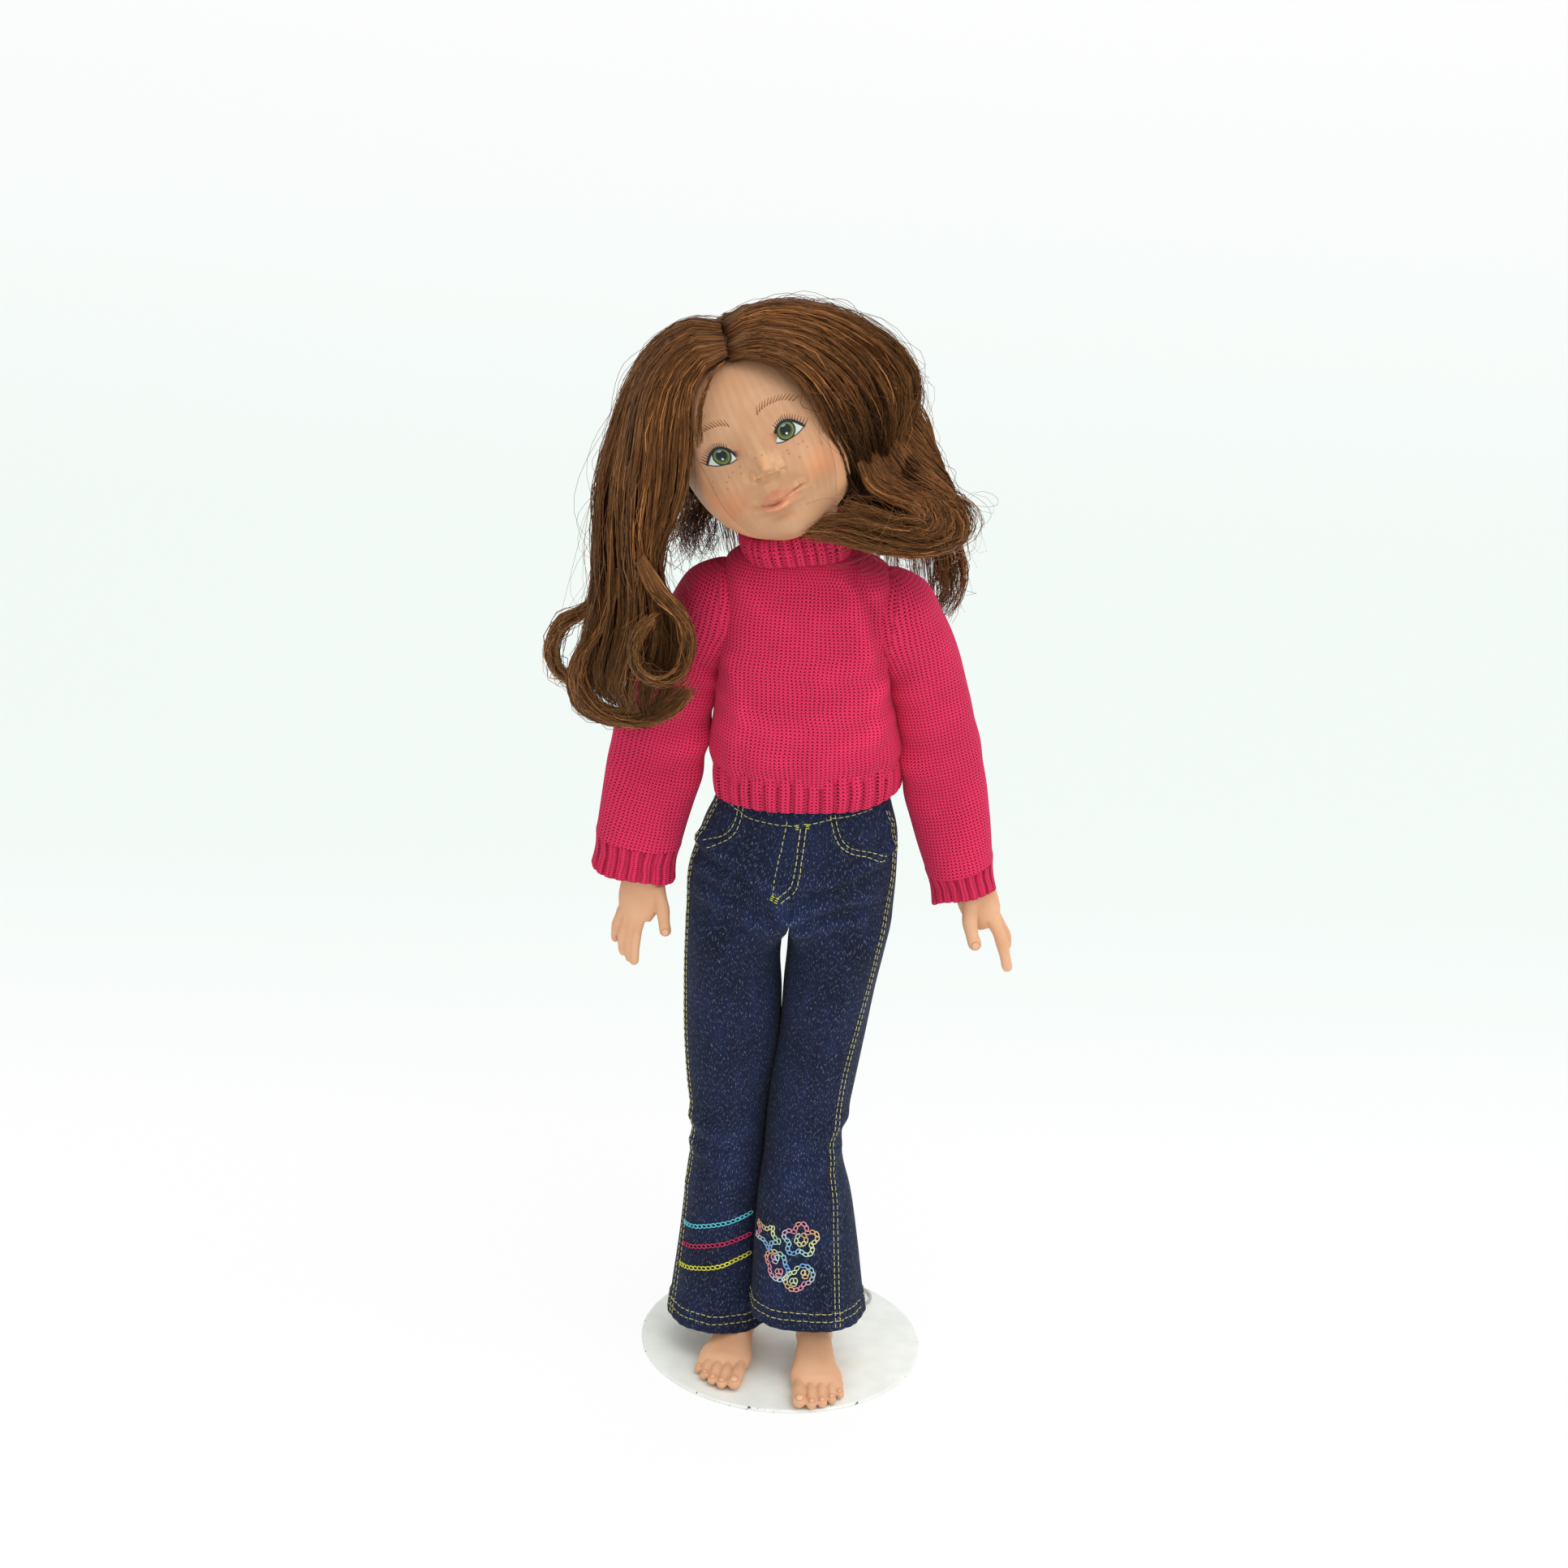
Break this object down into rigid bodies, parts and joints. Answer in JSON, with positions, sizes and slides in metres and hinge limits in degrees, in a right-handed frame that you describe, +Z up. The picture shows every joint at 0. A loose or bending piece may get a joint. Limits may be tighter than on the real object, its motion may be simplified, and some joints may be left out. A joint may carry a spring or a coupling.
{
  "type": "play doll",
  "caption": "Jointed vinyl play doll on a display stand, with a long parted wig, knitted roll-neck pullover and flared embroidered jeans.",
  "frame": {"origin": "underside of the base plate, on the doll's midline", "axes": "+Z up, the doll faces -Y, the doll's left is +X"},
  "size_m": [0.1937, 0.119, 0.4576],
  "materials": {
    "enamel": "gloss",
    "steel": "satin",
    "vinyl": "matte",
    "elastic": "matte",
    "hair": "satin",
    "net": "matte",
    "knit": "matte",
    "denim": "matte"
  },
  "bodies": {
    "stand": {"base_plate": "enamel", "tube_flange": "steel", "upright_tube": "steel", "foot_loop": "steel"},
    "trunk": {"clip_rod": "steel", "waist_clip": "steel", "trunk_shell": "vinyl", "arm_elastic": "elastic", "leg_elastic": "elastic", "pullover_body": "knit", "pullover_hem": "knit", "pullover_collar": "knit", "jeans_seat": "denim", "jeans_waistband": "denim"},
    "arm_left": {"arm_left": "vinyl", "sleeve_left": "knit", "cuff_left": "knit"},
    "arm_right": {"arm_right": "vinyl", "sleeve_right": "knit", "cuff_right": "knit"},
    "leg_left": {"leg_left": "vinyl", "hip_bar_left": "steel", "jeans_leg_left": "denim"},
    "leg_right": {"leg_right": "vinyl", "hip_bar_right": "steel", "jeans_leg_right": "denim"},
    "neck_hook": {"neck_hook": "steel", "neck_button": "vinyl"},
    "head": {"head_shell": "vinyl", "wig_cap": "net", "hair_crown": "hair", "hair_right_fall": "hair", "hair_left_side": "hair", "hair_back": "hair", "hair_right_curl": "hair", "hair_left_flip": "hair"}
  },
  "joints": [
    {"name": "stand_height", "type": "slide", "parent": "stand", "child": "trunk", "axis": [0, 0, 1], "range_m": [0, 0.04]},
    {"name": "arm_left_swing", "type": "hinge", "parent": "trunk", "child": "arm_left", "pos_m": [0.033, 0, 0.3292], "axis": [-1, 0, 0], "range_deg": [-40, 100], "deforming": ["hair_left_side", "hair_left_flip", "hair_back"]},
    {"name": "arm_right_swing", "type": "hinge", "parent": "trunk", "child": "arm_right", "pos_m": [-0.033, 0, 0.3292], "axis": [-1, 0, 0], "range_deg": [-40, 100], "deforming": ["hair_right_fall", "hair_right_curl"]},
    {"name": "leg_left_swing", "type": "hinge", "parent": "trunk", "child": "leg_left", "pos_m": [0.019, 0, 0.2122], "axis": [-1, 0, 0], "range_deg": [0, 90], "deforming": ["jeans_leg_left", "jeans_seat"]},
    {"name": "leg_right_swing", "type": "hinge", "parent": "trunk", "child": "leg_right", "pos_m": [-0.019, 0, 0.2122], "axis": [-1, 0, 0], "range_deg": [0, 90], "deforming": ["jeans_leg_right"]},
    {"name": "neck_tilt", "type": "hinge", "parent": "trunk", "child": "neck_hook", "pos_m": [0, 0, 0.3722], "axis": [0, 1, 0], "range_deg": [-6, 30], "deforming": ["pullover_collar", "leg_elastic"]},
    {"name": "head_turn", "type": "hinge", "parent": "neck_hook", "child": "head", "pos_m": [0, 0, 0.3722], "axis": [-0.4067, 0, 0.9135], "range_deg": [-35, 45]}
  ]
}
